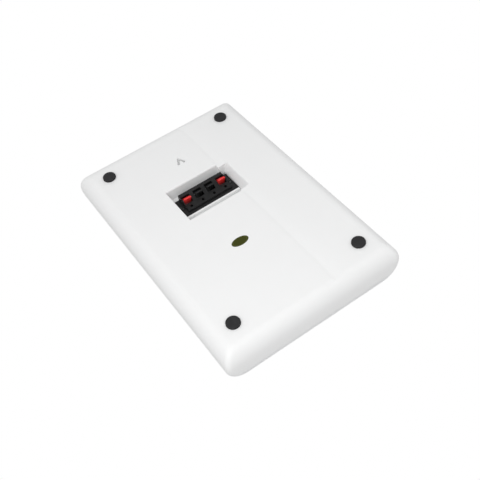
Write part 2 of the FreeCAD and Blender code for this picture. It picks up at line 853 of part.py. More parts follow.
def cone_line(radius):
    """Depth of the cone's back face at a radius: a flared curve from neck to rim."""
    share = (radius - former_radius) / (cone_radius - former_radius)
    start = coil_front - cone_thickness
    return start + (cone_front - cone_thickness - start) * share ** 0.8


def woofer_cone():
    neck = former_radius + glue_clearance
    steps = 8
    radii = [neck + (cone_radius - neck) * k / steps for k in range(steps + 1)]
    back = [(r, cone_line(r)) for r in radii]
    front = [(r, cone_line(r) + cone_thickness) for r in reversed(radii)]
    return turned(back + front, 0, woofer_z)


def quarter(steps):
    return [math.pi / 2 * k / steps for k in range(steps + 1)]


def dome(radius, height, skin, base):
    """Profile of a thin dome, from its rim over the crown and back along its inside."""
    arc = quarter(6)
    over = [(radius * math.cos(a), base + height * math.sin(a)) for a in arc[:-1]]
    under = [((radius - skin) * math.cos(a), base + (height - skin) * math.sin(a))
             for a in reversed(arc[:-1])]
    return over + [(0, base + height), (0, base + height - skin)] + under


def dust_cap():
    """Shallow dome glued to the cone."""
    base = cone_line(cap_radius) + cone_thickness
    return turned(dome(cap_radius, cap_height, cap_skin, base), 0, woofer_z)


def woofer_surround():
    """Half-roll rubber edge between the cone's rim and the basket's flange."""
    land = baffle_depth + sheet
    base = max(land, cone_front) + glue_clearance
    inner, outer = cone_radius, woofer_opening - trim_inset
    middle, radius = (inner + outer) / 2, (outer - inner) / 2
    arc = [2 * a for a in quarter(8)]
    rise = roll_height - roll_thickness
    over = [(middle - radius * math.cos(a), base + roll_thickness + rise * math.sin(a))
            for a in arc]
    under = [(middle - (radius - roll_thickness) * math.cos(a), base + rise * math.sin(a))
             for a in reversed(arc)]
    edge = trim_radius - glue_clearance
    lip = [(edge, base + roll_thickness), (edge, land), (outer, land)]
    start = [(inner - roll_seat, base), (inner - roll_seat, base + roll_thickness)]
    return turned(start + over + lip + under, 0, woofer_z)


def woofer_spider():
    """Corrugated centring disc, glued to the coil's former and to the basket's floor."""
    inner = former_radius + glue_clearance
    outer = basket_floor_radius - spider_inset
    thick = spider_thickness
    floor = basket_floor + sheet
    top = basket_floor + spider_rise
    steps = spider_waves * 4
    radii = [inner + (outer - inner - 4 * thick) * k / steps for k in range(steps + 1)]
    wave = [spider_wave * math.sin(2 * math.pi * spider_waves * k / steps)
            for k in range(steps + 1)]
    over = [(r, top + thick + w) for r, w in zip(radii, wave)]
    under = [(r, top + w) for r, w in zip(reversed(radii), reversed(wave))]
    foot_ring = [(outer - 2 * thick, top + thick), (outer, floor + thick),
                 (outer + 3 * thick, floor + thick), (outer + 3 * thick, floor),
                 (outer - thick, floor), (outer - 3 * thick, top)]
    return turned(over + foot_ring + under, 0, woofer_z)


def woofer_trim():
    land = baffle_depth + sheet
    top = land + trim_thickness
    edge = trim_edge
    ring = turned([(trim_radius, land), (woofer_radius, land), (woofer_radius, top - edge),
                   (woofer_radius - edge, top), (trim_radius + edge, top),
                   (trim_radius, top - edge)], 0, woofer_z)
    holes = [rod(driver_screw_radius + hole_clearance, baffle_depth, face_depth, x, z)
             for x, z in woofer_screw_places()]
    return ring.cut(holes[0].multiFuse(holes[1:]))


def driver_screws(seat, places):
    return group([pan_screw(driver_head_radius, driver_head_height,
                            driver_screw_radius * pilot_share, driver_screw_length, seat,
                            x, z, -1) for x, z in places])


def solder_strip():
    """Solder strip on the basket's floor, behind it, with its two tabs."""
    x = (basket_floor_radius + motor_radius) / 2
    back = basket_floor - sheet
    strip = slab(x - 3.5, x + 3.5, back, basket_floor, woofer_z - 7, woofer_z + 7)
    tabs = [slab(x - 1.4, x + 1.4, back - solder_tab_length, back, z - 0.4, z + 0.4)
            for z in (woofer_z - 4, woofer_z + 4)]
    return join(strip, *tabs)


# Tweeter
def tweeter_faceplate():
    top = baffle_depth + tweeter_plate
    edge = trim_edge
    plate = turned([(dome_ring_radius, baffle_depth + tweeter_plate / 2),
                    (dome_ring_radius + throat_width, top), (tweeter_radius - edge, top),
                    (tweeter_radius, top - edge), (tweeter_radius, baffle_depth),
                    (dome_ring_radius, baffle_depth)], 0, tweeter_z)
    holes = [rod(driver_screw_radius + hole_clearance, baffle_back, face_depth, x, z)
             for x, z in tweeter_screw_places()]
    return plate.cut(holes[0].multiFuse(holes[1:]))


def tweeter_dome():
    """Soft dome and the flat ring round it, one moulding."""
    ring = dome_ring_radius - glue_clearance
    base = baffle_depth
    crown = dome(dome_radius, dome_height, dome_skin, base)
    skirt = [(dome_radius - dome_skin, base), (ring, base), (ring, base + dome_skin),
             (dome_radius, base + dome_skin)]
    return turned(skirt + crown[1:-1], 0, tweeter_z)


def tweeter_motor():
    back = baffle_depth - tweeter_motor_length
    radius = tweeter_motor_radius
    edge = 2 * trim_edge
    can = turned([(0, back), (radius - edge, back), (radius, back + edge),
                  (radius, baffle_depth), (0, baffle_depth)], 0, tweeter_z)
    tabs = [slab(x - 0.4, x + 0.4, back - solder_tab_length, back, tweeter_z - 1.4,
                 tweeter_z + 1.4) for x in (-radius / 3, radius / 3)]
    return join(can, *tabs)


# Crossover
def crossover_board():
    board = slab(board_x - board_width / 2, board_x + board_width / 2, wall + standoff_height,
                 board_front, board_z - board_height / 2, board_z + board_height / 2)
    holes = [rod(board_screw_radius + hole_clearance, 0, face_depth, x, z)
             for x, z in board_corners()]
    return board.cut(holes[0].multiFuse(holes[1:]))


def board_screws():
    return group([pan_screw(board_head_radius, board_head_height,
                            board_screw_radius * pilot_share, standoff_height, board_front,
                            x, z, -1) for x, z in board_corners()])


def inductor():
    """Air-core coil on a bobbin with two cheeks."""
    z = board_z + inductor_rise
    start = board_front + coil_cheek
    end = start + coil_height
    winding = tube(coil_outer_radius, coil_bore_radius, start, end, board_x, z)
    cheeks = [tube(coil_outer_radius + coil_cheek, coil_bore_radius - coil_cheek, depth,
                   depth + coil_cheek, board_x, z) for depth in (board_front, end)]
    core = tube(coil_bore_radius, coil_bore_radius - coil_cheek, board_front,
                end + coil_cheek, board_x, z)
    return join(winding, core, *cheeks)


def capacitors():
    start = board_x - capacitor_length / 2
    depth = board_front + capacitor_radius
    return group([Part.makeCylinder(capacitor_radius, capacitor_length,
                                    place(start, depth, board_z + rise), V(1, 0, 0))
                  for rise in (capacitor_low, capacitor_high)])


def resistor():
    z = board_z + resistor_rise
    return slab(board_x - resistor_length / 2, board_x + resistor_length / 2, board_front,
                board_front + resistor_height, z - resistor_width / 2, z + resistor_width / 2)


# Grille
def grille():
    """Steel pan that carries on the shell's rounded edge and closes the front."""
    outer = band(baffle_depth + grille_gap, face_depth, 0, front_form)
    inner = front_form(grille_thickness, face_depth - grille_thickness)
    return outer.cut(inner)


def grille_frame():
    """Moulded frame inside the pan, with the pegs that plug into the baffle's grommets."""
    start = baffle_depth + grommet_lip + peg_clearance
    end = start + frame_height
    inset = grille_thickness + frame_clearance
    inside = front_form(inset, face_depth - inset)
    outer = inside.common(slab(-half_width, half_width, start, end, -half_height, half_height))
    frame = outer.cut(rounded_prism(inset + frame_width, start - 1, end + 1))
    pegs = [rod(peg_radius, baffle_depth - peg_length, start, x, z) for x, z in peg_places()]
    pads = [rod(grommet_flange, start, end, x, z).common(inside) for x, z in peg_places()]
    return join(frame, *(pegs + pads))


def grommets():
    """Rubber grommets in the baffle: a tail behind it, a sleeve in the hole and a lip on it."""
    hole = peg_radius + peg_clearance
    back = baffle_back - grommet_tail
    lip = grommet_flange - frame_clearance
    return group([turned([(hole, back), (grommet_radius, back), (grommet_radius, baffle_depth),
                          (lip, baffle_depth), (lip, baffle_depth + grommet_lip),
                          (hole, baffle_depth + grommet_lip)], x, z)
                  for x, z in peg_places()])


# Felt
def damping_felt():
    """Felt pads on the inside of the back, beside the recess and below the crossover."""
    front = wall + felt_thickness
    low = woofer_z + felt_rise
    inner = recess_wall + felt_gap - recess_left
    outer = half_width - felt_side_room
    left = slab(-outer, -inner, wall, front, low, low + felt_length)
    right = slab(inner, outer, wall, front, low, board_z - board_height / 2 - felt_rise)
    return group([left, right])


os.makedirs("parts", exist_ok=True)

pieces = {
    "rear_housing": rear_housing(),
    "front_shell": front_shell(),
    "seam_gasket": seam_gasket(),
    "case_screws": case_screws(),
    "terminal_block": terminal_block(),
    "terminal_gasket": terminal_gasket(),
    "terminal_screws": plate_screws(),
    "lever_pivot_rod": pivot_rod(),
    "terminal_contacts": contacts(),
    "woofer_basket": woofer_basket(),
    "woofer_yoke": woofer_yoke(),
    "woofer_magnet": woofer_magnet(),
    "woofer_pole_plate": woofer_pole_plate(),
    "woofer_voice_coil": voice_coil(),
    "woofer_cone": woofer_cone(),
    "woofer_dust_cap": dust_cap(),
    "woofer_surround": woofer_surround(),
    "woofer_spider": woofer_spider(),
    "woofer_trim_ring": woofer_trim(),
    "woofer_screws": driver_screws(baffle_depth + sheet + trim_thickness,
                                   woofer_screw_places()),
    "woofer_solder_strip": solder_strip(),
    "tweeter_faceplate": tweeter_faceplate(),
    "tweeter_dome": tweeter_dome(),
    "tweeter_motor": tweeter_motor(),
    "tweeter_screws": driver_screws(baffle_depth + tweeter_plate, tweeter_screw_places()),
    "crossover_board": crossover_board(),
    "crossover_inductor": inductor(),
    "crossover_capacitors": capacitors(),
    "crossover_resistor": resistor(),
    "crossover_screws": board_screws(),
    "damping_felt": damping_felt(),
    "grille": grille(),
    "grille_frame": grille_frame(),
    "grille_grommets": grommets(),
}
for number, (x, z) in enumerate(feet_places(), 1):
    pieces["foot_%d" % number] = foot(x, z)
for number, x in enumerate(way_places(), 1):
    pieces["lever_%d" % number] = lever(x)
    pieces["lever_spring_%d" % number] = lever_spring(x)

for name, shape in pieces.items():
    shape.exportStep("parts/%s.step" % name)
    sizes = [round(v, 1) for v in (shape.BoundBox.XLength, shape.BoundBox.YLength,
                                   shape.BoundBox.ZLength)]
    print(name, "solids", len(shape.Solids), "valid", shape.isValid(),
          "volume", round(shape.Volume, 1), "box", sizes)
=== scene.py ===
import bmesh
import bpy
import numpy as np
from bpy.props import FloatProperty, FloatVectorProperty, IntProperty, PointerProperty
from mathutils import Matrix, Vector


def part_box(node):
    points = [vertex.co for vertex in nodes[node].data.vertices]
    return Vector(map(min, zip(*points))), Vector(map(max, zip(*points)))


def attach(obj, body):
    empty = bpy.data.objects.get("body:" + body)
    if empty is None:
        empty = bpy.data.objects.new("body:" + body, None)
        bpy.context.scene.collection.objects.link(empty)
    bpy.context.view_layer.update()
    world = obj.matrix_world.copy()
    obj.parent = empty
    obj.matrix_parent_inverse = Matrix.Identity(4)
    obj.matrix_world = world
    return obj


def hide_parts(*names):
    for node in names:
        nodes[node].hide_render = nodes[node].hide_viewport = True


bl_info = {
    "name": "Slim wall speaker",
    "version": (1, 0, 0),
    "blender": (4, 5, 0),
    "location": "3D View > Sidebar > Speaker",
    "description": "Finishes and fine pieces of a slim wall speaker seen from its back",
    "category": "Object",
}

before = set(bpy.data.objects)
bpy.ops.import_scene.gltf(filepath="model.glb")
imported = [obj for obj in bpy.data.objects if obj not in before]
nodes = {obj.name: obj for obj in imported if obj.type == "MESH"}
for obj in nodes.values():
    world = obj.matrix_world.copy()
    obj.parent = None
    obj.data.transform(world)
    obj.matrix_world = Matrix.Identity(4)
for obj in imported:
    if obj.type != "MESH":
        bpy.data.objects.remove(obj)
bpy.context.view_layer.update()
MM = 0.001
FOOT = 2.5 * MM  # the rubber feet keep the flat back this far from the wall


# Sizes and colours that a user would change

class CaseSettings(bpy.types.PropertyGroup):
    colour: FloatVectorProperty(
        name="Case colour", description="Moulded plastic of both case halves",
        subtype="COLOR", size=3, min=0, max=1, default=(0.885, 0.888, 0.888))
    grain: FloatProperty(
        name="Grain size", description="Width of one grain of the moulded texture",
        default=0.45 * MM, min=0.05 * MM, max=3 * MM, unit="LENGTH", precision=5)
    grain_depth: FloatProperty(
        name="Grain depth", description="Depth of the moulded texture",
        default=0.012 * MM, min=0, max=0.2 * MM, unit="LENGTH", precision=6)


class GrilleSettings(bpy.types.PropertyGroup):
    colour: FloatVectorProperty(
        name="Grille colour", description="Powder coat of the perforated steel",
        subtype="COLOR", size=3, min=0, max=1, default=(0.84, 0.845, 0.85))
    pitch: FloatProperty(
        name="Hole pitch", description="Distance between neighbouring holes",
        default=3.6 * MM, min=2.5 * MM, max=12 * MM, unit="LENGTH", precision=4)
    hole: FloatProperty(
        name="Hole width", description="Diameter of one hole",
        default=2.2 * MM, min=0.5 * MM, max=8 * MM, unit="LENGTH", precision=4)
    margin: FloatProperty(
        name="Plain margin", description="Width of the unpierced border on the flat face",
        default=4.0 * MM, min=1 * MM, max=30 * MM, unit="LENGTH", precision=4)
    steps: IntProperty(
        name="Steps round the edge", description="Divisions of the rolled edge",
        default=14, min=4, max=40)


class TerminalSettings(bpy.types.PropertyGroup):
    black: FloatVectorProperty(
        name="Block colour", description="Moulded terminal block and its dark levers",
        subtype="COLOR", size=3, min=0, max=1, default=(0.009, 0.009, 0.0095))
    red: FloatVectorProperty(
        name="Red levers", description="Levers of the positive wires",
        subtype="COLOR", size=3, min=0, max=1, default=(0.8, 0.03, 0.028))
    rubber: FloatVectorProperty(
        name="Rubber", description="Feet, roll edge and grommets",
        subtype="COLOR", size=3, min=0, max=1, default=(0.02, 0.02, 0.021))


class StickerSettings(bpy.types.PropertyGroup):
    colour: FloatVectorProperty(
        name="Sticker colour", description="Ground of the small plain oval on the back",
        subtype="COLOR", size=3, min=0, max=1, default=(0.043, 0.049, 0.004))
    ring: FloatVectorProperty(
        name="Ring colour", description="Lighter ring printed inside the oval's edge",
        subtype="COLOR", size=3, min=0, max=1, default=(0.075, 0.083, 0.018))
    middle: FloatVectorProperty(
        name="Middle", description="Centre of the oval on the back",
        subtype="TRANSLATION", size=3, unit="LENGTH",
        default=(13.4 * MM, -FOOT, -45.1 * MM))
    half_size: FloatVectorProperty(
        name="Half size", description="Half the oval's width and half its height",
        size=2, unit="LENGTH", default=(9.4 * MM, 5.2 * MM))


class StageSettings(bpy.types.PropertyGroup):
    floor_height: FloatProperty(
        name="Floor height", description="Height of the floor under the hanging speaker",
        default=-0.75, min=-5, max=-0.3, unit="LENGTH")
    back_light: FloatProperty(
        name="Light on the back", description="Power of the large soft lamp behind the speaker",
        default=4.5, min=0, max=500, unit="POWER")
    near_light: FloatProperty(
        name="Near light", description="Power of the smaller soft lamp low and near the back",
        default=0.45, min=0, max=500, unit="POWER")
    low_light: FloatProperty(
        name="Low light", description="Power of the smaller soft lamp below the back",
        default=0.7, min=0, max=500, unit="POWER")
    front_light: FloatProperty(
        name="Light on the front", description="Power of the soft lamp in front of it",
        default=6.0, min=0, max=500, unit="POWER")
    sky: FloatProperty(
        name="Room light", description="Strength of the even light from all round",
        default=0.7, min=0, max=3)
    reflection: FloatProperty(
        name="Room reflection", description="Brightness of the room in glossy reflections",
        default=0.7, min=0, max=3)


# Shader maths

class Shade:
    """One socket of a material, so that shader maths reads as an expression."""

    def __init__(self, tree, socket):
        self.tree = tree
        self.socket = socket

    def maths(self, operation, *values):
        node = self.tree.nodes.new("ShaderNodeMath")
        node.operation = operation
        for number, value in enumerate(values):
            feed(self.tree, node.inputs[number], value)
        return Shade(self.tree, node.outputs[0])

    def __add__(self, other):
        return self.maths("ADD", self, other)

    def __radd__(self, other):
        return self.maths("ADD", other, self)

    def __sub__(self, other):
        return self.maths("SUBTRACT", self, other)

    def __rsub__(self, other):
        return self.maths("SUBTRACT", other, self)

    def __mul__(self, other):
        return self.maths("MULTIPLY", self, other)

    def __rmul__(self, other):
        return self.maths("MULTIPLY", other, self)

    def __truediv__(self, other):
        return self.maths("DIVIDE", self, other)

    def __pow__(self, other):
        return self.maths("POWER", self, other)

    def root(self):
        return self.maths("SQRT", self)

    def wave(self):
        return self.maths("SINE", self)

    def most(self, other):
        return self.maths("MAXIMUM", self, other)

    def size(self):
        return self.maths("ABSOLUTE", self)


def feed(tree, socket, value):
    """Links a shade to a socket, or sets the socket's own value."""
    if isinstance(value, Shade):
        tree.links.new(value.socket, socket)
    elif isinstance(value, (tuple, list)) and len(value) == 3 and len(socket.default_value) == 4:
        socket.default_value = (*value, 1)
    else:
        socket.default_value = value


class Finish:
    """A material under construction: one shader and what varies over its surface."""

    def __init__(self, name, **shader_values):
        self.material = bpy.data.materials.new(name)
        self.material.use_nodes = True
        self.tree = self.material.node_tree
        self.tree.nodes.clear()
        self.shader = self.tree.nodes.new("ShaderNodeBsdfPrincipled")
        output = self.tree.nodes.new("ShaderNodeOutputMaterial")
        self.tree.links.new(self.shader.outputs[0], output.inputs[0])
        self.set(**{key.replace("_", " "): value for key, value in shader_values.items()})

    def set(self, **values):
        for name, value in values.items():
            feed(self.tree, self.shader.inputs[name], value)

    def node(self, kind, settings=None, sockets=None, output=0):
        """Adds a node: its settings first, then the values or links of its sockets."""
        made = self.tree.nodes.new("ShaderNode" + kind)
        for name, value in (settings or {}).items():
            setattr(made, name, value)
        for name, value in (sockets or {}).items():
            feed(self.tree, made.inputs[name], value)
        return Shade(self.tree, made.outputs[output])

    def place(self):
        return self.node("TexCoord", output="Object")

    def axes(self):
        """The three parts of a place as separate shades."""
        place = self.place()
        made = self.tree.nodes.new("ShaderNodeSeparateXYZ")
        feed(self.tree, made.inputs[0], place)
        return [Shade(self.tree, socket) for socket in made.outputs]

    def noise(self, width, detail=2.0, roughness=0.5, stretch=None):
        """Cloudy noise whose features are about one width across."""
        place = self.place()
        if stretch:
            place = self.node("Mapping", sockets={"Vector": place, "Scale": stretch})
        return self.node("TexNoise", sockets={"Vector": place, "Scale": 1 / width,
                                              "Detail": detail, "Roughness": roughness})

    def cells(self, width):
        """Distance to the nearest of scattered points, which lie about one width apart."""
        return self.node("TexVoronoi", sockets={"Vector": self.place(), "Scale": 1 / width},
                         output="Distance")

    def mix(self, share, low, high):
        """The low colour where the share is 0, and the high one where it is 1."""
        return self.node("Mix", {"data_type": "RGBA"}, {0: share, 6: low, 7: high}, 2)

    def shades(self, share, colour, down, up):
        """The colour made darker and lighter by a share between 0 and 1."""
        return self.mix(share, tuple(max(c * down, 0) for c in colour),
                        tuple(min(c * up, 1) for c in colour))

    def span(self, value, low, high, new_low, new_high):
        """A value's range moved to a new range, and held at the new range's ends."""
        return self.node("MapRange", {"clamp": True}, {0: value, 1: low, 2: high,
                                                       3: new_low, 4: new_high})

    def surface(self, colour, rough, height, depth):
        """Sets all that varies over the surface, and hands over the material."""
        normal = self.node("Bump", sockets={"Strength": 1.0, "Distance": depth,
                                            "Height": height})
        self.set(**{"Base Color": colour, "Roughness": rough, "Normal": normal})
        return self.material


# Waves of two finishes, in radians per metre
GLASS_WAVE = 4200
WRAP_WAVE = 900
# The sticker's printed ring, in shares of the oval: the middle of its line, and how far to each
# side the line is solid and has faded out
RING = {"reach": 0.84, "solid": 0.035, "faded": 0.06}


def moulded(name, colour, grain, depth, rough, spread=0.02, shine=0.5):
    """Moulded plastic: fine spark-eroded grain, soft clouds in tone and in gloss."""
    f = Finish(name, Specular_IOR_Level=shine)
    clouds = f.noise(28 * MM, 3)
    fine = f.noise(grain, 3, 0.6)
    pits = f.cells(grain * 1.7)
    return f.surface(
        colour=f.shades(0.6 * clouds + 0.4 * fine, colour, 1 - spread, 1 + spread),
        rough=f.span(0.5 * clouds + 0.5 * fine, 0.3, 0.7, rough - 0.05, rough + 0.07),
        height=0.6 * fine + 0.4 * pits, depth=depth)


def rubber_finish(name, colour):
    """Rubber: matt, with a dusty bloom and a fine ground grain."""
    f = Finish(name, Specular_IOR_Level=0.3)
    clouds = f.noise(6 * MM, 4)
    grain = f.noise(0.35 * MM, 3, 0.7)
    bloom = f.span(clouds, 0.45, 0.75, 0, 1)
    return f.surface(
        colour=f.mix(0.5 * bloom, colour, tuple(1.7 * c for c in colour)),
        rough=f.span(grain, 0.2, 0.8, 0.62, 0.85),
        height=grain, depth=0.02 * MM)


def brushed_finish(name, colour, stretch, rough=0.32):
    """Steel with fine drawn lines along one axis."""
    f = Finish(name, Metallic=1.0)
    lines = f.noise(0.25 * MM, 4, 0.6, stretch=stretch)
    clouds = f.noise(9 * MM, 2)
    return f.surface(
        colour=f.shades(0.7 * lines + 0.3 * clouds, colour, 0.86, 1.1),
        rough=f.span(lines, 0.25, 0.75, rough - 0.08, rough + 0.14),
        height=lines, depth=0.006 * MM)


def plated_finish(name, colour, rough=0.22):
    """Zinc or tin plate: bright with a faint crystalline mottling."""
    f = Finish(name, Metallic=1.0)
    mottle = f.cells(1.1 * MM)
    clouds = f.noise(2.5 * MM, 3)
    return f.surface(
        colour=f.shades(0.5 * mottle + 0.5 * clouds, colour, 0.88, 1.08),
        rough=f.span(clouds, 0.3, 0.7, rough - 0.06, rough + 0.16),
        height=mottle, depth=0.004 * MM)


def painted_finish(name, colour, rough=0.42, peel=0.7 * MM, depth=0.014 * MM):
    """Powder coat: low orange peel over metal, with a little change in gloss."""
    f = Finish(name)
    skin = f.noise(peel, 2, 0.4)
    clouds = f.noise(24 * MM, 3)
    return f.surface(
        colour=f.shades(clouds, colour, 0.97, 1.03),
        rough=f.span(skin, 0.3, 0.7, rough - 0.06, rough + 0.08),
        height=skin, depth=depth)


def wound_finish(name, colour, middle):
    """Enamelled copper wire in close turns round an axis along Y."""
    f = Finish(name, Metallic=0.85)
    x, y, z = f.axes()
    radius = ((x - middle[0]) ** 2 + (z - middle[1]) ** 2).root()
    wire = 0.42 * MM
    turn = 2 * np.pi / wire
    turns = (radius * turn).wave() * (y * turn).wave()
    clouds = f.noise(4 * MM, 2)
    return f.surface(
        colour=f.shades(0.5 + 0.35 * turns, colour, 0.7, 1.15),
        rough=f.span(clouds, 0.3, 0.7, 0.22, 0.36),
        height=0.5 + 0.5 * turns, depth=0.08 * MM)


def pulp_finish(name, colour):
    """Pressed paper pulp: short crossing fibres and a soft, uneven black dye."""
    f = Finish(name)
    across = f.noise(0.8 * MM, 4, 0.7, stretch=(4, 1, 1))
    along = f.noise(0.8 * MM, 4, 0.7, stretch=(1, 1, 4))
    fibres = across.most(along)
    clouds = f.noise(14 * MM, 3)
    return f.surface(
        colour=f.shades(0.6 * fibres + 0.4 * clouds, colour, 0.6, 1.7),
        rough=f.span(fibres, 0.4, 0.8, 0.72, 0.92),
        height=fibres, depth=0.06 * MM)


def woven_finish(name, colour, thread, rough=0.8):
    """Plain weave: threads over and under each other across the face."""
    f = Finish(name)
    x, _, z = f.axes()
    turn = np.pi / thread
    warp = (x * turn).wave()
    weft = (z * turn).wave()
    weave = (warp * weft).size()
    clouds = f.noise(8 * MM, 3)
    return f.surface(
        colour=f.shades(0.6 * weave + 0.4 * clouds, colour, 0.65, 1.3),
        rough=f.span(clouds, 0.3, 0.7, rough - 0.06, rough + 0.08),
        height=weave, depth=0.12 * MM)


def felt_finish(name, colour):
    """Matted fibres in two greys with a soft nap."""
    f = Finish(name)
    hairs = f.noise(0.9 * MM, 5, 0.75)
    clumps = f.noise(6 * MM, 3)
    fleck = f.cells(1.4 * MM)
    return f.surface(
        colour=f.shades(0.5 * hairs + 0.3 * clumps + 0.2 * fleck, colour, 0.6, 1.35),
        rough=f.span(hairs, 0.3, 0.7, 0.88, 0.98),
        height=0.6 * hairs + 0.4 * clumps, depth=0.5 * MM)


def foam_finish(name, colour):
    """Closed-cell foam: small round cells, a few of them open."""
    f = Finish(name)
    bubbles = f.cells(0.5 * MM)
    clouds = f.noise(5 * MM, 2)
    return f.surface(
        colour=f.shades(0.7 * bubbles + 0.3 * clouds, colour, 0.6, 1.6),
        rough=f.span(clouds, 0.3, 0.7, 0.82, 0.95),
        height=bubbles, depth=0.06 * MM)


def laminate_finish(name, colour):
    """Circuit laminate: solder mask over a faint glass weave, with broad copper areas."""
    f = Finish(name, Coat_Roughness=0.2)
    x, _, z = f.axes()
    weave = ((x * GLASS_WAVE).wave() * (z * GLASS_WAVE).wave()).size()
    copper = f.span(f.noise(17 * MM, 0), 0.49, 0.51, 0, 1)
    return f.surface(
        colour=f.mix(0.55 * copper + 0.15 * weave, colour,
                     tuple(min(1.7 * c + 0.02, 1) for c in colour)),
        rough=f.span(weave, 0, 1, 0.28, 0.4),
        height=0.8 * copper + 0.2 * weave, depth=0.035 * MM)


def film_finish(name, colour):
    """Wrapped film capacitor: glossy skin with a soft overlap and resin ends."""
    f = Finish(name)
    overlap = f.span((f.axes()[2] * WRAP_WAVE).wave(), 0.92, 1.0, 0, 1)
    clouds = f.noise(5 * MM, 3)
    return f.surface(
        colour=f.shades(clouds * (1 - 0.5 * overlap), colour, 0.78, 1.1),
        rough=f.span(clouds, 0.3, 0.7, 0.16, 0.3),
        height=overlap + 0.3 * clouds, depth=0.03 * MM)


def cement_finish(name, colour):
    """Fired cement body: chalky, with small pores."""
    f = Finish(name)
    pores = f.cells(0.7 * MM)
    clouds = f.noise(3 * MM, 4)
    return f.surface(
        colour=f.shades(0.6 * clouds + 0.4 * pores, colour, 0.85, 1.06),
        rough=f.span(clouds, 0.3, 0.7, 0.82, 0.95),
        height=0.5 * pores + 0.5 * clouds, depth=0.05 * MM)


def sticker_finish(name, colour, ring, middle, half_size):
    """Printed vinyl: a dark ground with one lighter oval ring inside its edge."""
    f = Finish(name, Specular_IOR_Level=0.15)
    x, _, z = f.axes()
    across = (x - middle[0]) / half_size[0]
    up = (z - middle[2]) / half_size[1]
    reach = (across ** 2 + up ** 2).root()
    band = f.span((reach - RING["reach"]).size(), RING["solid"], RING["faded"], 1, 0)
    print_grain = f.noise(0.4 * MM, 3)
    tone = f.shades(print_grain, colour, 0.85, 1.2)
    return f.surface(
        colour=f.mix(band, tone, ring),
        rough=f.span(print_grain, 0.3, 0.7, 0.28, 0.4),
        height=print_grain, depth=0.004 * MM)


def dress(material, *names):
    """Gives CAD nodes a material."""
    for name in names:
        mesh = nodes[name].data
        mesh.materials.clear()
        mesh.materials.append(material)


def numbered(stem, count):
    return ["%s_%d" % (stem, k) for k in range(1, count + 1)]


# Surfaces

def add_object(name, data):
    """Puts a mesh, a lamp or a camera into the scene."""
    made = bpy.data.objects.new(name, data)
    bpy.context.scene.collection.objects.link(made)
    return made


def merge_points(mesh):
    """Joins points that lie on each other, which closes seams and poles."""
    bm = bmesh.new()
    bm.from_mesh(mesh)
    bmesh.ops.remove_doubles(bm, verts=bm.verts, dist=0.001 * MM)
    bm.to_mesh(mesh)
    bm.free()


def new_piece(name, points, faces, material, body, smooth=True):
    """A mesh object from arrays of points and quads, riding on a CAD body."""
    mesh = bpy.data.meshes.new(name)
    mesh.from_pydata(points.tolist(), [], faces.tolist())
    merge_points(mesh)
    mesh.polygons.foreach_set("use_smooth", np.full(len(mesh.polygons), smooth))
    mesh.materials.append(material)
    piece = add_object(name, mesh)
    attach(piece, body)
    return piece


def grid_quads(rows, columns, closed_columns=True, closed_rows=False):
    """Quads of a grid of points stored row by row, as indices."""
    row = np.arange(rows if closed_rows else rows - 1)
    column = np.arange(columns if closed_columns else columns - 1)
    r, c = np.meshgrid(row, column, indexing="ij")
    r2, c2 = (r + 1) % rows, (c + 1) % columns
    return np.stack([r * columns + c, r * columns + c2, r2 * columns + c2, r2 * columns + c],
                    axis=-1).reshape(-1, 4)


def rounded_outline(right, bottom, top, radius, count=40):
    """Rounded rectangle, symmetrical about X = 0, with as many points on each corner.
    Each corner is a quarter circle: its centre plus the radius times the cosine and sine."""
    turn = np.linspace(0, np.pi / 2, count)
    centres = [(right - radius, top - radius), (-right + radius, top - radius),
               (-right + radius, bottom + radius), (right - radius, bottom + radius)]
    arcs = [np.stack([cx + radius * np.cos(turn + k * np.pi / 2),
                      cz + radius * np.sin(turn + k * np.pi / 2)], axis=-1)
            for k, (cx, cz) in enumerate(centres)]
    return np.concatenate(arcs)


# The grille follows the front of the case: a quarter ellipse between the widest line and the face.
# Widest and seat are depths from the flat back. Side, top and bottom say how far the face lies
# inside the widest line, and split is the height at which the two pierced fields meet.
GRILLE = {"half_width": 100 * MM, "half_height": 149 * MM, "widest": 18 * MM, "deep": 23 * MM,
          "side": 10 * MM, "top": 11 * MM, "bottom": 3 * MM, "corner": 5 * MM,
          "front_corner": 17 * MM, "seat": 33.2 * MM, "sheet": 1.0 * MM, "split": -4 * MM}
# The plain border runs on under the pierced field's edge, sunk between the field's two faces. It
# sinks over the slant's width.
BORDER = {"under": 0.6 * MM, "sunk": 0.04 * MM, "slant": 0.05 * MM}
# A cell of the pierced field has a hole where the border is further away than so many pitches.
# Elsewhere it closes to a point of this radius.
CELL = {"sides": 12, "clear": 0.8, "closed": 0.02 * MM}


def at_depth(flat, depth):
    """An outline of widths and heights, as points at a depth from the flat back, or at one
    depth each."""
    along = np.broadcast_to(-(FOOT + depth), len(flat))
    return np.column_stack([flat[:, 0], along, flat[:, 1]])


def pan_loop(angle, inset, ceiling):
    """Outline of the grille at one angle of its rolled edge. It comes in by one minus the
    cosine of the angle, and its depth grows with the sine."""
    g = GRILLE
    share = 1 - np.cos(angle)
    depth = g["widest"] + (ceiling - g["widest"]) * np.sin(angle)
    flat = rounded_outline(g["half_width"] - inset - g["side"] * share,
                           -g["half_height"] + inset + g["bottom"] * share,
                           g["half_height"] - inset - g["top"] * share,
                           max(g["corner"] - inset, MM) + (g["front_corner"] - g["corner"]) * share)
    return at_depth(flat, depth)


def face_loop(by, depth):
    """Outline of the flat face, drawn in by a distance and set at one depth."""
    g = GRILLE
    radius = max(g["front_corner"] - by, MM)
    flat = rounded_outline(g["half_width"] - g["side"] - by,
                           -g["half_height"] + g["bottom"] + by,
                           g["half_height"] - g["top"] - by, radius)
    return at_depth(flat, depth)


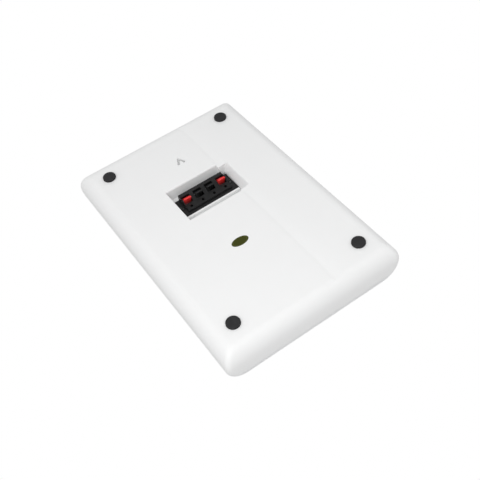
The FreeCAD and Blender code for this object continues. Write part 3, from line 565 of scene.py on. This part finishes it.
def grille_pan(steps, margin):
    """Closed skin of the pan's rolled edge and plain border. Rows run up the outside from the
    seat to the face, in over the border, and back down the inside one sheet further in."""
    g = GRILLE
    face = g["widest"] + g["deep"]
    inner = face - g["sheet"]
    start_out = np.arcsin((g["seat"] - g["widest"]) / g["deep"])
    start_in = np.arcsin((g["seat"] - g["widest"]) / (g["deep"] - g["sheet"]))
    under = margin + BORDER["under"]
    upper = face - BORDER["sunk"]
    lower = inner + BORDER["sunk"]
    rows = [pan_loop(a, 0.0, face) for a in np.linspace(start_out, np.pi / 2, steps)]
    rows += [face_loop(margin - BORDER["slant"], face), face_loop(margin, upper),
             face_loop(under, upper), face_loop(under, lower), face_loop(margin, lower)]
    rows += [pan_loop(a, g["sheet"], inner) for a in np.linspace(np.pi / 2, start_in, steps)]
    points = np.concatenate(rows)
    return points, grid_quads(len(rows), len(rows[0]), closed_rows=True)


def inside_by(points, margin):
    """How far each point lies inside the plain border's inner edge: the distance to a rounded
    rectangle, which is the distance to its core rectangle less the corner radius."""
    g = GRILLE
    radius = g["front_corner"] - margin
    right = g["half_width"] - g["side"] - margin
    bottom = -g["half_height"] + g["bottom"] + margin
    top = g["half_height"] - g["top"] - margin
    middle = np.array([0, (top + bottom) / 2])
    half = np.array([right, (top - bottom) / 2])
    away = np.abs(points - middle) - (half - radius)
    outside = np.linalg.norm(np.maximum(away, 0), axis=-1)
    return radius - outside - np.minimum(np.max(away, axis=-1), 0)


def pull_in(points, margin):
    """Points outside the plain border's inner edge, brought back onto it along its normal."""
    step = 1e-6
    gap = inside_by(points, margin)
    slope = np.stack([inside_by(points + (step, 0), margin) - gap,
                      inside_by(points + (0, step), margin) - gap], axis=-1) / step
    return np.where((gap < 0)[..., None], points - slope * gap[..., None], points)


def pierced_field(low, high, pitch, hole, margin):
    """Flat perforated sheet made of six-sided cells on a triangular lattice.
    A cell is a ring of twelve quads between its outline and a twelve-sided hole, once on the
    face and once on the back, joined by the wall of the hole. Cells at the border are plain."""
    g = GRILLE
    sides = CELL["sides"]
    row_step = pitch * np.sqrt(3) / 2
    face = -(FOOT + g["widest"] + g["deep"])
    rows = np.arange(np.ceil(low / row_step), np.ceil(high / row_step)).astype(int)
    furthest = int(np.ceil(g["half_width"] / pitch)) + 1
    columns = np.arange(-furthest, furthest + 1)
    r, c = np.meshgrid(rows, columns, indexing="ij")
    centres = np.stack([(c + 0.5 * (r % 2)) * pitch, r * row_step], axis=-1).reshape(-1, 2)
    turn = np.arange(sides) * 2 * np.pi / sides
    reach = np.where(np.arange(sides) % 2 == 0, pitch / 2, pitch / np.sqrt(3))
    ring = np.stack([np.cos(turn), np.sin(turn)], axis=-1)
    outline = centres[:, None, :] + ring * reach[:, None]
    touching = (inside_by(outline, margin) > 0).any(axis=1)
    centres, outline = centres[touching], outline[touching]
    pierced = inside_by(centres, margin) > CELL["clear"] * pitch
    outline = pull_in(outline, margin)
    middle = np.where(pierced[:, None, None], centres[:, None, :],
                      outline.mean(axis=1)[:, None, :])
    inner = middle + ring * np.where(pierced, hole / 2, CELL["closed"])[:, None, None]
    layers = np.stack([outline, inner, inner, outline], axis=1)
    back = face + g["sheet"]
    depth = np.array([face, face, back, back])
    flat = layers.reshape(-1, 2)
    along = np.broadcast_to(depth[None, :, None], layers.shape[:3]).reshape(-1)
    points = np.column_stack([flat[:, 0], along, flat[:, 1]])
    one = grid_quads(len(depth), sides)
    first = len(depth) * sides * np.arange(len(centres))
    faces = (one[None] + first[:, None, None]).reshape(-1, 4)
    return points, faces


def oval_disc(middle, half_size, thickness, count=72):
    """Thin closed oval with a softly turned-down rim: rings of an ellipse whose radius runs from
    0 to 1 while they fall to the surface that it is stuck on, and back to 0 underneath."""
    reach = np.array([0, 0.5, 0.86, 0.97, 0.99, 1.0, 1.0, 0.5, 0])
    lift = np.array([1, 1, 1, 1, 0.92, 0.6, 0, 0, 0]) * thickness
    turn = np.linspace(0, 2 * np.pi, count, endpoint=False)
    x = middle[0] + half_size[0] * reach[:, None] * np.cos(turn)
    z = middle[2] + half_size[1] * reach[:, None] * np.sin(turn)
    y = np.broadcast_to((middle[1] + lift)[:, None], x.shape)
    points = np.stack([x, y, z], axis=-1).reshape(-1, 3)
    return points, grid_quads(len(reach), count)


# The outer side of the recess's pocket slopes from the rounded mouth down to the terminal's plate.
# Widths are measured from the middle of the back, depths from its surface. Bottom, lip and top are
# heights: the trough reaches from the bottom to the lip. Hidden is how far, as a width and as a
# depth, the skin's unseen side lies inside the housing, and beyond how far it passes the top.
SLOPE = {"mouth": (37.96 * MM, 0.556 * MM), "lean": 0.395, "bend": 4.0 * MM, "foot": 33.05 * MM,
         "floor": 14.8 * MM, "trough": 18.2 * MM, "bottom": 12.4 * MM, "lip": 24.5 * MM,
         "top": 55.2 * MM, "corner": 2.0 * MM, "hidden": (0.25 * MM, 0.15 * MM),
         "beyond": 0.1 * MM}


def slope_profile(deepest):
    """Closed outline of the slope, as widths and depths. It leaves the mouth's rounding at half
    a right angle, bends down over an arc to its lean from the vertical, and runs straight."""
    w = SLOPE
    x0, t0 = w["mouth"]
    turn = np.linspace(np.pi / 4, np.pi / 2 - w["lean"], 6)
    x = x0 - w["bend"] * (np.sin(turn) - np.sin(turn[0]))
    t = t0 + w["bend"] * (np.cos(turn[0]) - np.cos(turn))
    run_x = np.linspace(x[-1], w["foot"], 8)[1:]
    run_t = t[-1] + (x[-1] - run_x) / np.tan(w["lean"])
    hidden = x0 + w["hidden"][0]
    return np.concatenate([
        [[hidden, t0 + w["hidden"][1]]], np.column_stack([x, t]), np.column_stack([run_x, run_t]),
        [[w["foot"], deepest], [hidden, deepest]]])


def pocket_slope():
    """Closed skin of the slope: its outline repeated up the pocket, deeper in the trough. Near
    the top it swings in over a quarter circle, which rounds the corner to the pocket's end."""
    w = SLOPE
    start = w["top"] - w["corner"]
    in_trough = np.concatenate([[w["bottom"]], np.linspace(w["bottom"], w["lip"], 4)])
    above = np.concatenate([np.linspace(w["lip"], start, 8),
                            start + w["corner"] * np.sin(np.linspace(0, np.pi / 2, 7))[1:],
                            [w["top"] + w["beyond"]] * 2])
    levels = [(z, w["trough"]) for z in in_trough] + [(z, w["floor"]) for z in above]
    rows = []
    for z, deepest in levels:
        profile = slope_profile(deepest)
        seen = profile[:, 0] <= w["mouth"][0]
        share = np.clip((z - start) / w["corner"], 0, 1)
        inward = w["corner"] * (1 - np.sqrt(1 - share ** 2))
        rows.append(at_depth(np.column_stack([inward * seen - profile[:, 0],
                                              np.full(len(profile), z)]), profile[:, 1]))
    for end in (rows[0], rows[-1]):
        end[:] = end.mean(axis=0)
    return np.concatenate(rows), grid_quads(len(rows), len(rows[0]))[:, ::-1]


# How a shown lever differs from its solid, with depths from the flat back. From the tab's root to
# the tab's end it gets shorter and lower. The whole lever is narrower, and a bevel softens the
# edges where faces meet at more than the angle.
LEVER = {"root": 7.3 * MM, "end": 2.1 * MM, "shorter": 1.3 * MM, "lower": 0.6 * MM,
         "narrower": 8 / 9, "edge": 0.3 * MM, "segments": 2, "angle": np.radians(40)}


def short_lever(number, material):
    """A lever with the photograph's shorter and narrower tab: the CAD lever's points, of which
    those past the tab's root move in and down by shares that grow evenly to its end."""
    name = "lever_%d" % number
    mesh = nodes[name].data.copy()
    mesh.name = "lever_tab_%d" % number
    merge_points(mesh)
    points = np.empty((len(mesh.vertices), 3))
    mesh.vertices.foreach_get("co", points.ravel())
    low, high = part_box(name)
    middle = (low[0] + high[0]) / 2
    depth = -points[:, 1] - FOOT
    share = np.clip((LEVER["root"] - depth) / (LEVER["root"] - LEVER["end"]), 0, 1)
    points[:, 0] = middle + (points[:, 0] - middle) * LEVER["narrower"]
    points[:, 1] -= share * LEVER["shorter"]
    points[:, 2] -= share * LEVER["lower"]
    mesh.vertices.foreach_set("co", points.ravel())
    mesh.materials.clear()
    mesh.materials.append(material)
    mesh.update()
    piece = add_object(mesh.name, mesh)
    bevel = piece.modifiers.new("Moulded edges", "BEVEL")
    bevel.width = LEVER["edge"]
    bevel.segments = LEVER["segments"]
    bevel.angle_limit = LEVER["angle"]
    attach(piece, name)
    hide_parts(name)


STEEL = (0.5, 0.51, 0.52)  # colour of bare steel
VINYL = 0.12 * MM  # thickness of the sticker
# X and Z of the axes that the two coils are wound round
WOOFER_AXIS = (0, -62 * MM)
CHOKE_AXIS = (62 * MM, 38.5 * MM)


# One operator for each group of pieces

class SPEAKER_OT_case(bpy.types.Operator):
    """Finish both case halves in grained white plastic"""
    bl_idname = "speaker.case"
    bl_label = "Case halves"

    def execute(self, context):
        s = context.scene.speaker_case
        white = moulded("White plastic", tuple(s.colour), s.grain, s.grain_depth, rough=0.46,
                        spread=0.012)
        dress(white, "rear_housing", "front_shell")
        points, faces = pocket_slope()
        new_piece("pocket_slope", points, faces, white, "cabinet")
        dress(foam_finish("Seam foam", (0.03, 0.03, 0.033)), "seam_gasket", "terminal_gasket")
        dress(felt_finish("Damping felt", (0.3, 0.32, 0.35)), "damping_felt")
        return {"FINISHED"}


class SPEAKER_OT_feet(bpy.types.Operator):
    """Finish the rubber feet and the screws under them"""
    bl_idname = "speaker.feet"
    bl_label = "Feet and case screws"

    def execute(self, context):
        s = context.scene.speaker_terminal
        dress(rubber_finish("Foot rubber", tuple(s.rubber)), *numbered("foot", 4))
        dress(plated_finish("Zinc plate", (0.62, 0.63, 0.64)), "case_screws",
              "crossover_screws")
        return {"FINISHED"}


class SPEAKER_OT_terminal(bpy.types.Operator):
    """Finish the push terminal: block, levers, rod, springs and contacts"""
    bl_idname = "speaker.terminal"
    bl_label = "Push terminal"

    def execute(self, context):
        s = context.scene.speaker_terminal
        black, red = tuple(s.black), tuple(s.red)
        grain = 0.3 * MM
        dress(moulded("Terminal black", black, grain, 0.006 * MM, rough=0.36, spread=0.12,
                      shine=0.3), "terminal_block")
        dark = moulded("Lever black", tuple(1.25 * c for c in black), grain, 0.004 * MM,
                       rough=0.3, spread=0.12, shine=0.3)
        bright = moulded("Lever red", red, grain, 0.004 * MM, rough=0.3, spread=0.05)
        for number, plastic, slot in ((1, bright, "red_plastic"), (2, dark, "black_plastic_lever"),
                                      (3, dark, "black_plastic_lever"), (4, bright, "red_plastic")):
            short_lever(number, plastic)
        dress(painted_finish("Blackened screw", black, rough=0.34), "terminal_screws")
        dress(brushed_finish("Spring steel", STEEL, stretch=(1, 6, 6)), "lever_pivot_rod",
              *numbered("lever_spring", 4))
        dress(plated_finish("Tinned brass", (0.76, 0.72, 0.62)), "terminal_contacts",
              "woofer_solder_strip")
        return {"FINISHED"}


class SPEAKER_OT_woofer(bpy.types.Operator):
    """Finish the woofer's basket, motor, cone, roll edge and centring disc"""
    bl_idname = "speaker.woofer"
    bl_label = "Woofer"

    def execute(self, context):
        rubber = tuple(context.scene.speaker_terminal.rubber)
        dress(painted_finish("Basket paint", (0.03, 0.03, 0.032), rough=0.38), "woofer_basket")
        dress(brushed_finish("Motor steel", STEEL, stretch=(5, 1, 5)), "woofer_yoke",
              "woofer_pole_plate", "tweeter_motor")
        dress(cement_finish("Magnet", (0.11, 0.11, 0.115)), "woofer_magnet")
        dress(wound_finish("Coil wire", (0.7, 0.3, 0.14), WOOFER_AXIS), "woofer_voice_coil")
        dress(pulp_finish("Cone pulp", (0.028, 0.028, 0.031)), "woofer_cone", "woofer_dust_cap")
        dress(rubber_finish("Roll rubber", rubber), "woofer_surround", "grille_grommets")
        dress(woven_finish("Centring cloth", (0.5, 0.34, 0.1), thread=0.7 * MM),
              "woofer_spider")
        dress(moulded("Driver black", (0.022, 0.022, 0.024), 0.4 * MM, 0.01 * MM, rough=0.42,
                      spread=0.1), "woofer_trim_ring", "tweeter_faceplate", "grille_frame")
        dress(painted_finish("Black screw", (0.02, 0.02, 0.021), rough=0.3), "woofer_screws",
              "tweeter_screws")
        dress(woven_finish("Dome silk", (0.03, 0.03, 0.034), thread=0.35 * MM, rough=0.6),
              "tweeter_dome")
        return {"FINISHED"}


class SPEAKER_OT_crossover(bpy.types.Operator):
    """Finish the crossover's board, coil, capacitors and resistor"""
    bl_idname = "speaker.crossover"
    bl_label = "Crossover"

    def execute(self, context):
        dress(laminate_finish("Laminate", (0.035, 0.16, 0.06)), "crossover_board")
        dress(wound_finish("Choke wire", (0.72, 0.32, 0.15), CHOKE_AXIS), "crossover_inductor")
        dress(film_finish("Capacitor film", (0.6, 0.42, 0.05)), "crossover_capacitors")
        dress(cement_finish("Cement", (0.78, 0.77, 0.72)), "crossover_resistor")
        return {"FINISHED"}


class SPEAKER_OT_grille(bpy.types.Operator):
    """Build the perforated steel grille in place of its plain solid"""
    bl_idname = "speaker.grille"
    bl_label = "Perforated grille"

    def execute(self, context):
        s = context.scene.speaker_grille
        paint = painted_finish("Grille paint", tuple(s.colour), rough=0.4)
        points, faces = grille_pan(s.steps, s.margin)
        pan = new_piece("grille_pan", points, faces, paint, "cabinet")
        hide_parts("grille")
        reach, split = GRILLE["half_height"], GRILLE["split"]
        for name, low, high in (("grille_field_lower", -reach, split),
                                ("grille_field_upper", split, reach)):
            points, faces = pierced_field(low, high, s.pitch, s.hole, s.margin)
            new_piece(name, points, faces, paint, "cabinet", smooth=False)
        return {"FINISHED"}


class SPEAKER_OT_sticker(bpy.types.Operator):
    """Place the small plain oval sticker on the back"""
    bl_idname = "speaker.sticker"
    bl_label = "Oval sticker"

    def execute(self, context):
        s = context.scene.speaker_sticker
        middle, half_size = tuple(s.middle), tuple(s.half_size)
        vinyl = sticker_finish("Sticker vinyl", tuple(s.colour), tuple(s.ring), middle, half_size)
        points, faces = oval_disc(middle, half_size, VINYL)
        new_piece("oval_sticker", points, faces, vinyl, "cabinet")
        return {"FINISHED"}


# Soft lamps: place, width and the setting that holds the power
LAMPS = {"Back lamp": ((0.5, 0.85, -0.55), 0.8, "back_light"),
         "Near lamp": ((0.2, 0.5, -0.33), 0.5, "near_light"),
         "Low lamp": ((0, 0.55, -0.72), 0.6, "low_light"),
         "Front lamp": ((-0.8, -1.5, 0.7), 1.4, "front_light")}


def soft_lamp(name, place, width, power):
    """A square area lamp at a place, turned to face the speaker."""
    data = bpy.data.lights.new(name, "AREA")
    data.shape = "SQUARE"
    data.size = width
    data.energy = power
    lamp = add_object(name, data)
    way = np.zeros(3) - np.array(place, float)
    way = way / np.linalg.norm(way)
    side = np.cross(way, (0, 0, 1))
    side = side / np.linalg.norm(side)
    up = np.cross(side, way)
    turn = Matrix([list(side), list(up), list(-way)]).transposed().to_4x4()
    lamp.matrix_world = Matrix.Translation(place) @ turn


# The camera: its focal length and the picture's width in pixels, its turn as a rotation vector, and
# its place in units of the height between the lower and the upper feet
CAMERA_FOCUS = 745.19
PICTURE_WIDTH = 480
CAMERA_TURN = (2.3116472, -0.7708316, 0.1216484)
CAMERA_SHIFT = (-0.06050882, -0.14041805, 3.13217397)
FOOT_SPAN = 0.240
FILM_WIDTH = 36  # in millimetres, as the lens is


def photo_camera():
    """The view of the photograph. A place in the speaker's frame is first turned so that the
    back faces along the third axis and scaled by the span between the feet, then turned by the
    rotation vector and moved by the shift. That gives right, down and ahead in the picture."""
    turn_vector = np.array(CAMERA_TURN)
    angle = np.linalg.norm(turn_vector)
    kx, ky, kz = turn_vector / angle
    cross = np.array([[0, -kz, ky], [kz, 0, -kx], [-ky, kx, 0]])
    turn = np.eye(3) + np.sin(angle) * cross + (1 - np.cos(angle)) * cross @ cross
    to_back = np.array([[-1, 0, 0], [0, 0, 1], [0, 1, 0]])
    whole = turn @ to_back
    place = -whole.T @ np.array(CAMERA_SHIFT) * FOOT_SPAN
    facing = whole.T @ np.diag([1, -1, -1])
    data = bpy.data.cameras.new("Photo camera")
    data.sensor_width = FILM_WIDTH
    data.lens = FILM_WIDTH * CAMERA_FOCUS / PICTURE_WIDTH
    data.clip_start = 0.01
    data.clip_end = 50
    camera = add_object("Photo camera", data)
    matrix = Matrix([list(row) for row in facing]).to_4x4()
    camera.matrix_world = Matrix.Translation(place.tolist()) @ matrix
    bpy.context.scene.camera = camera


def white_glow(tree, strength):
    """A white background of one strength."""
    glow = tree.nodes.new("ShaderNodeBackground")
    feed(tree, glow.inputs[0], (1, 1, 1))
    feed(tree, glow.inputs[1], strength)
    return Shade(tree, glow.outputs[0])


def room_world(strength, reflection):
    """An even sky: one strength for light, one for reflections, and white for the camera."""
    world = bpy.data.worlds.new("Room")
    bpy.context.scene.world = world
    world.use_nodes = True
    tree = world.node_tree
    tree.nodes.clear()
    path = tree.nodes.new("ShaderNodeLightPath")
    camera = Shade(tree, path.outputs["Is Camera Ray"])
    glossy = Shade(tree, path.outputs["Is Glossy Ray"])
    mix = tree.nodes.new("ShaderNodeMixShader")
    parts = (camera.most(glossy), white_glow(tree, strength),
             white_glow(tree, camera.most(glossy * reflection)))
    for socket, part in zip(mix.inputs, parts):
        tree.links.new(part.socket, socket)
    output = tree.nodes.new("ShaderNodeOutputWorld")
    tree.links.new(mix.outputs[0], output.inputs[0])


FLOOR_REACH = 4  # half the floor's width, in metres
FLOOR_POINTS = 5  # points along each of its sides


class SPEAKER_OT_stage(bpy.types.Operator):
    """Make the floor, the soft lights, the white room and the camera"""
    bl_idname = "speaker.stage"
    bl_label = "Stage"

    def execute(self, context):
        s = context.scene.speaker_stage
        side = np.linspace(-FLOOR_REACH, FLOOR_REACH, FLOOR_POINTS)
        x, y = np.meshgrid(side, side, indexing="ij")
        points = np.stack([x, y, np.full_like(x, s.floor_height)], axis=-1).reshape(-1, 3)
        mesh = bpy.data.meshes.new("Floor")
        quads = grid_quads(FLOOR_POINTS, FLOOR_POINTS, closed_columns=False)[:, ::-1]
        mesh.from_pydata(points.tolist(), [], quads.tolist())
        pale = Finish("Pale floor")
        cloud = pale.noise(0.9, 3)
        pale.set(**{"Base Color": pale.shades(cloud, (0.8, 0.8, 0.8), 0.98, 1.02),
                    "Roughness": pale.span(cloud, 0.3, 0.7, 0.7, 0.8)})
        mesh.materials.append(pale.material)
        floor = add_object("Floor", mesh)
        for name, (place, width, setting) in LAMPS.items():
            soft_lamp(name, place, width, getattr(s, setting))
        room_world(s.sky, s.reflection)
        context.scene.view_settings.view_transform = "Standard"
        photo_camera()
        return {"FINISHED"}


class SPEAKER_PT_panel(bpy.types.Panel):
    """Lists the speaker's pieces and their settings"""
    bl_idname = "SPEAKER_PT_panel"
    bl_label = "Wall speaker"
    bl_space_type = "VIEW_3D"
    bl_region_type = "UI"
    bl_category = "Speaker"

    def draw(self, context):
        for group in ("case", "terminal", "grille", "sticker", "stage"):
            settings = getattr(context.scene, "speaker_" + group)
            box = self.layout.box()
            for name in settings.bl_rna.properties.keys():
                if name not in ("rna_type", "name"):
                    box.prop(settings, name)
        for operator in OPERATORS:
            self.layout.operator(operator.bl_idname)


OPERATORS = (SPEAKER_OT_case, SPEAKER_OT_feet, SPEAKER_OT_terminal, SPEAKER_OT_woofer,
             SPEAKER_OT_crossover, SPEAKER_OT_grille, SPEAKER_OT_sticker, SPEAKER_OT_stage)
GROUPS = {"case": CaseSettings, "grille": GrilleSettings, "terminal": TerminalSettings,
          "sticker": StickerSettings, "stage": StageSettings}


def register():
    for name, group in GROUPS.items():
        bpy.utils.register_class(group)
        setattr(bpy.types.Scene, "speaker_" + name, PointerProperty(type=group))
    for operator in OPERATORS:
        bpy.utils.register_class(operator)
    bpy.utils.register_class(SPEAKER_PT_panel)


def unregister():
    bpy.utils.unregister_class(SPEAKER_PT_panel)
    for operator in reversed(OPERATORS):
        bpy.utils.unregister_class(operator)
    for name, group in GROUPS.items():
        delattr(bpy.types.Scene, "speaker_" + name)
        bpy.utils.unregister_class(group)


def main():
    register()
    bpy.ops.speaker.case()
    bpy.ops.speaker.feet()
    bpy.ops.speaker.terminal()
    bpy.ops.speaker.woofer()
    bpy.ops.speaker.crossover()
    bpy.ops.speaker.grille()
    bpy.ops.speaker.sticker()
    bpy.ops.speaker.stage()


if __name__ == "__main__":
    main()
